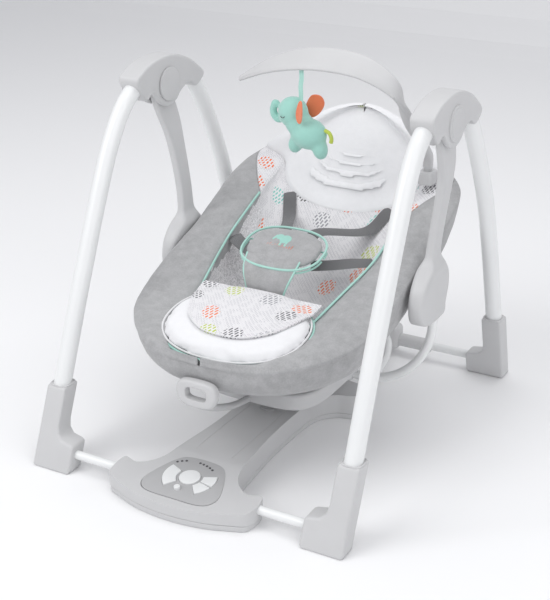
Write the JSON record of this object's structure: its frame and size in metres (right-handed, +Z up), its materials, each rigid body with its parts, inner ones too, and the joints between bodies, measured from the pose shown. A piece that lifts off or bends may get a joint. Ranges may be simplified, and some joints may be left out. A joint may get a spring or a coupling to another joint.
{
  "type": "portable baby swing",
  "caption": "Portable baby swing: A-frame with base housing, hanging reclining padded seat with harness and lap pad, leaf-shaped toy bar and plush toy.",
  "frame": {"origin": "on the floor at the underside of the base housing, on the plane that halves the swing, near the pivots' fore-and-aft place", "axes": "+X to the viewer's right from the front, +Y to the back, +Z up"},
  "size_m": [0.5774, 0.755, 0.6492],
  "materials": {
    "painted_tube": "satin white powder coat",
    "light_plastic": "fine-grained light grey moulding",
    "dark_plastic": "fine-grained grey moulding",
    "button_plastic": "satin white moulding",
    "bright_steel": "drawn steel",
    "battery_cell": "plain jacket",
    "circuit_board": "lacquered board",
    "coil_winding": "enamelled winding",
    "grey_velour": "short-pile velour",
    "printed_cotton": "printed woven cotton",
    "white_minky": "short plush",
    "grey_webbing": "narrow woven webbing",
    "mint_plush": "short plush"
  },
  "bodies": {
    "frame": {"base_top_shell": "light_plastic", "base_bottom_cover": "light_plastic", "battery_door": "light_plastic", "battery_cell_1": "battery_cell", "battery_cell_2": "battery_cell", "battery_cell_3": "battery_cell", "battery_cell_4": "battery_cell", "circuit_board": "circuit_board", "drive_coil": "coil_winding", "control_panel": "dark_plastic", "rear_housing": "light_plastic", "front_leg_left": "painted_tube", "rear_leg_left": "painted_tube", "front_foot_left": "light_plastic", "rear_foot_left": "light_plastic", "front_cross_tube_left": "painted_tube", "rear_cross_tube_left": "painted_tube", "base_rail_left": "painted_tube", "hub_outer_shell_left": "light_plastic", "hub_inner_shell_left": "light_plastic", "hub_inner_cap_left": "light_plastic", "pivot_shaft_left": "light_plastic", "front_leg_right": "painted_tube", "rear_leg_right": "painted_tube", "front_foot_right": "light_plastic", "rear_foot_right": "light_plastic", "front_cross_tube_right": "painted_tube", "rear_cross_tube_right": "painted_tube", "base_rail_right": "painted_tube", "hub_outer_shell_right": "light_plastic", "hub_inner_shell_right": "light_plastic", "hub_inner_cap_right": "light_plastic", "pivot_shaft_right": "light_plastic"},
    "carrier": {"swing_arm_left": "light_plastic", "swing_arm_right": "light_plastic", "carrier_tube": "painted_tube", "drive_magnet_saddle": "light_plastic"},
    "seat": {"seat_tray": "light_plastic", "seat_ring": "bright_steel", "front_handle": "light_plastic", "seat_shell_cover": "grey_velour", "seat_liner": "printed_cotton", "leg_rest_pad": "white_minky", "head_pillow": "white_minky", "lap_pad": "grey_velour", "shoulder_strap_left": "grey_webbing", "shoulder_strap_right": "grey_webbing", "waist_strap_left": "grey_webbing", "waist_strap_right": "grey_webbing", "harness_buckle": "dark_plastic", "toy_bar_mount": "light_plastic"},
    "toy_bar": {"toy_bar": "light_plastic"},
    "toy": {"toy_strap": "mint_plush", "plush_toy": "mint_plush"},
    "speed_button": {"speed_button": "button_plastic"},
    "timer_button": {"timer_button": "button_plastic"},
    "sound_button": {"sound_button": "button_plastic"},
    "volume_button": {"volume_button": "button_plastic"},
    "power_knob": {"power_knob": "button_plastic"},
    "lock_button": {"lock_button": "dark_plastic"}
  },
  "joints": [
    {"name": "swing", "type": "hinge", "parent": "frame", "child": "carrier", "pos_m": [0, 0.004, 0.573], "axis": [1, 0, 0], "range_deg": [-14, 14]},
    {"name": "recline", "type": "hinge", "parent": "carrier", "child": "seat", "pos_m": [0, 0.06, 0.0745], "axis": [1, 0, 0], "range_deg": [-10, 0]},
    {"name": "toy_bar_turn", "type": "hinge", "parent": "seat", "child": "toy_bar", "pos_m": [0.156, 0.215, 0.405], "axis": [0, 0, 1], "range_deg": [-20, 25]},
    {"name": "toy_hang", "type": "hinge", "parent": "toy_bar", "child": "toy", "pos_m": [-0.011, 0.052, 0.6155], "axis": [1, 0, 0], "range_deg": [-30, 30]},
    {"name": "speed_press", "type": "slide", "parent": "frame", "child": "speed_button", "axis": [0, 0.1392, -0.9903], "range_m": [0, 0.0015], "stiffness_N_per_m": 800},
    {"name": "timer_press", "type": "slide", "parent": "frame", "child": "timer_button", "axis": [0, 0.1392, -0.9903], "range_m": [0, 0.0015], "stiffness_N_per_m": 800},
    {"name": "sound_press", "type": "slide", "parent": "frame", "child": "sound_button", "axis": [0, 0.1392, -0.9903], "range_m": [0, 0.0015], "stiffness_N_per_m": 800},
    {"name": "volume_press", "type": "slide", "parent": "frame", "child": "volume_button", "axis": [0, 0.1392, -0.9903], "range_m": [0, 0.0015], "stiffness_N_per_m": 800},
    {"name": "power_press", "type": "slide", "parent": "frame", "child": "power_knob", "axis": [0, 0.1392, -0.9903], "range_m": [0, 0.0015], "stiffness_N_per_m": 800},
    {"name": "lock_press", "type": "slide", "parent": "frame", "child": "lock_button", "axis": [0, 0, -1], "range_m": [0, 0.0015], "stiffness_N_per_m": 800}
  ]
}
